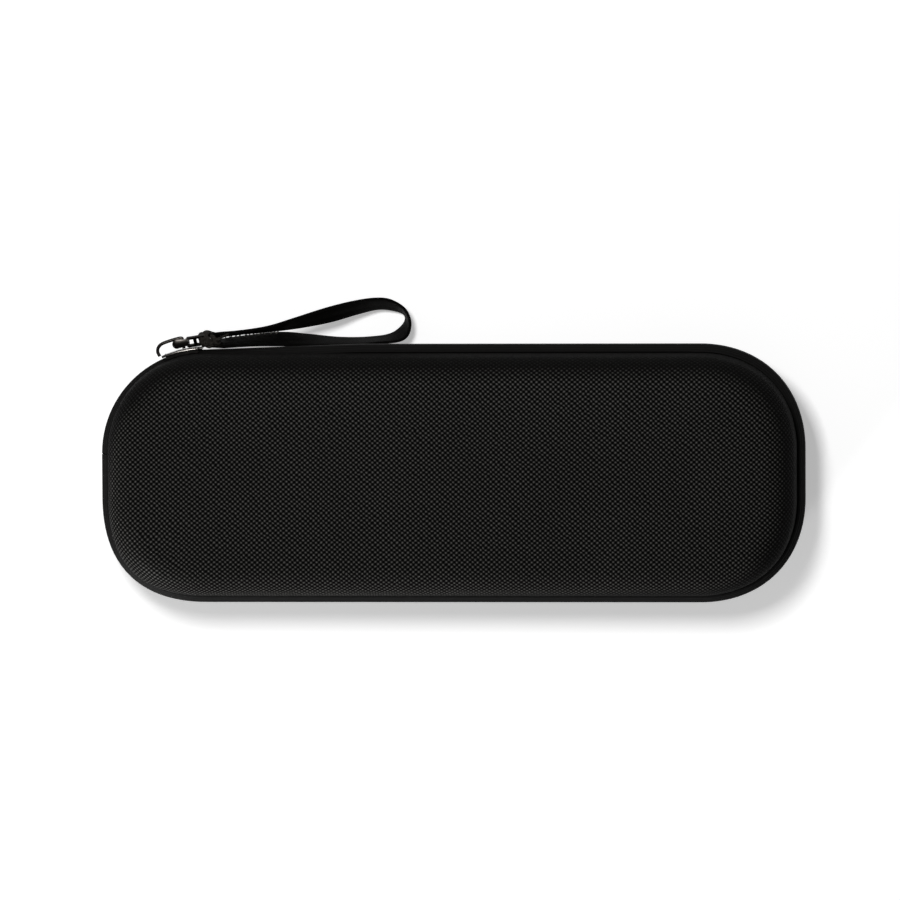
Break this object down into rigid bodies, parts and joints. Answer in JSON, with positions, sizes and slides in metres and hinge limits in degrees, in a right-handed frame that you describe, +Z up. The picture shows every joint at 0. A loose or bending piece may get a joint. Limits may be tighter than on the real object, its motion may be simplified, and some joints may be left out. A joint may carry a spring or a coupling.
{
  "type": "electric toothbrush travel case",
  "caption": "Moulded zip-up hard case in black woven fabric with a round-cornered lid, fabric hinge, zip slider with puller and webbing wrist loop, brush straps and a net pocket inside.",
  "frame": {"origin": "centre of the flat underside, which rests on a surface", "axes": "+X along the case's length, the slider parks at its -X end; +Y towards the fabric hinge at the back; +Z up through the lid"},
  "size_m": [0.23, 0.0991, 0.048],
  "materials": {
    "cover_fabric": "coarse black woven polyester moulded on foam",
    "lining_fabric": "matt black knitted lining",
    "zip_tape": "fine black woven zip tape",
    "zip_coil": "satin black nylon monofilament",
    "binding": "black woven binding tape",
    "gunmetal": "dark polished gunmetal plating",
    "webbing": "black woven webbing",
    "elastic": "ribbed black elastic",
    "net": "open black net"
  },
  "bodies": {
    "base": {"base_shell": "cover_fabric", "base_lining": "lining_fabric", "base_zipper_tape": "zip_tape", "base_zipper_coil": "zip_coil", "base_zipper_coil_end": "zip_coil", "base_end_stop": "gunmetal", "base_seam_binding": "binding", "hinge_fabric": "binding", "brush_strap_left": "elastic", "brush_strap_right": "elastic"},
    "lid": {"lid_shell": "cover_fabric", "lid_lining": "lining_fabric", "lid_zipper_tape": "zip_tape", "lid_zipper_coil": "zip_coil", "lid_zipper_end": "zip_tape", "lid_end_stop": "gunmetal", "lid_seam_binding": "binding", "pocket_binding": "binding", "pocket_net": "net", "pocket_hem": "elastic"},
    "slider": {"slider_body": "gunmetal", "slider_bail": "gunmetal"},
    "puller": {"puller": "gunmetal", "wrist_strap": "webbing"}
  },
  "joints": [
    {"name": "lid_hinge", "type": "hinge", "parent": "base", "child": "lid", "pos_m": [0, 0.04225, 0.024], "axis": [-1, 0, 0], "range_deg": [0, 90], "deforming": ["hinge_fabric", "lid_zipper_end"]},
    {"name": "slider_travel", "type": "hinge", "parent": "base", "child": "slider", "pos_m": [-0.081, 0.00645, 0.024], "axis": [0, 0, 1], "range_deg": [0, 65], "deforming": ["base_zipper_coil_end", "lid_zipper_end"]},
    {"name": "puller_swing", "type": "hinge", "parent": "slider", "child": "puller", "pos_m": [-0.09008, 0.04232, 0.024], "axis": [0, 0, 1], "range_deg": [0, 100]}
  ]
}
